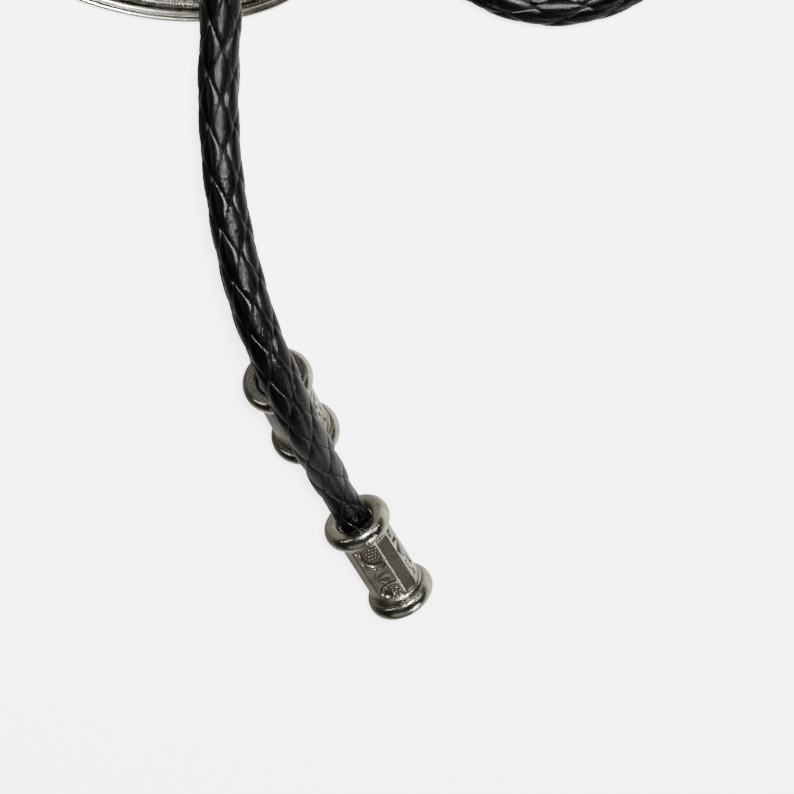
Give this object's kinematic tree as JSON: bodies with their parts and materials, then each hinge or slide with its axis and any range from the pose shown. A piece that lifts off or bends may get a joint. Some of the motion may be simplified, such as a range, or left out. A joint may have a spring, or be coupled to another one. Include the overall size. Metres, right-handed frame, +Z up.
{
  "type": "wristlet keychain",
  "caption": "Braided leather wristlet keychain: cord loop with a sliding keeper, tails in cast spool tips, an oval medallion, and a swivel hook with a split ring.",
  "frame": {"origin": "middle of the footprint of the metal parts, on the surface they lie on", "axes": "+Z up from the surface, +Y from the tips towards the wrist loop, +X to the right with the key ring on the left"},
  "size_m": [0.1542, 0.2146, 0.0251],
  "materials": {
    "cord": "braided, semi-gloss black",
    "cast_silver": "antiqued silver casting, dark in the recesses",
    "nickel": "polished nickel",
    "steel": "bright steel",
    "rubber": "matte"
  },
  "bodies": {
    "cord": {"wrist_loop": "cord", "front_tail": "cord", "rear_tail": "cord", "front_tip": "cast_silver", "front_tip_sleeve": "steel", "rear_tip": "cast_silver", "rear_tip_sleeve": "steel"},
    "keeper": {"keeper_base": "cast_silver", "keeper_cover": "cast_silver", "keeper_liners": "rubber", "keeper_screws": "steel"},
    "charm_link": {"charm_link": "nickel"},
    "medallion": {"medallion_rim": "nickel", "medallion_back": "cast_silver", "medallion_plate": "cast_silver", "medallion_border": "nickel", "medallion_boss": "cast_silver", "medallion_rivets": "nickel", "medallion_bail": "nickel"},
    "key_link": {"key_link": "nickel"},
    "swivel_eye": {"swivel_eye": "nickel"},
    "hook": {"hook_body": "nickel", "gate_pin": "steel", "gate_spring": "steel"},
    "gate": {"hook_gate": "nickel"},
    "key_ring": {"split_ring": "steel"}
  },
  "joints": [
    {"name": "keeper_slide", "type": "slide", "parent": "cord", "child": "keeper", "axis": [0, 1, 0], "range_m": [0, 0.008]},
    {"name": "charm_link_swing", "type": "hinge", "parent": "keeper", "child": "charm_link", "pos_m": [0.02137, 0.0535, 0.0022], "axis": [1, 0, 0], "range_deg": [0, 60]},
    {"name": "medallion_swing", "type": "hinge", "parent": "charm_link", "child": "medallion", "pos_m": [0.02014, 0.04416, 0.0022], "axis": [0.9659, -0.2588, 0], "range_deg": [0, 80]},
    {"name": "key_link_swing", "type": "hinge", "parent": "keeper", "child": "key_link", "pos_m": [0.00942, 0.06435, 0.0042], "axis": [0, 1, 0], "range_deg": [-50, 50]},
    {"name": "eye_swing", "type": "hinge", "parent": "key_link", "child": "swivel_eye", "pos_m": [-0.00098, 0.06435, 0.0042], "axis": [0, 1, 0], "range_deg": [-55, 55]},
    {"name": "hook_swivel", "type": "hinge", "parent": "swivel_eye", "child": "hook", "pos_m": [-0.00503, 0.06435, 0.0042], "axis": [1, 0, 0], "continuous": true},
    {"name": "gate_open", "type": "hinge", "parent": "hook", "child": "gate", "pos_m": [-0.01103, 0.07101, 0.0026], "axis": [0, 0.2334, 0.9724], "range_deg": [0, 30], "stiffness_Nm_per_rad": 0.02, "springref_deg": -11.46},
    {"name": "key_ring_turn", "type": "hinge", "parent": "hook", "child": "key_ring", "pos_m": [-0.04113, 0.06435, 0.0042], "axis": [1, 0, 0], "range_deg": [0, 126]}
  ]
}
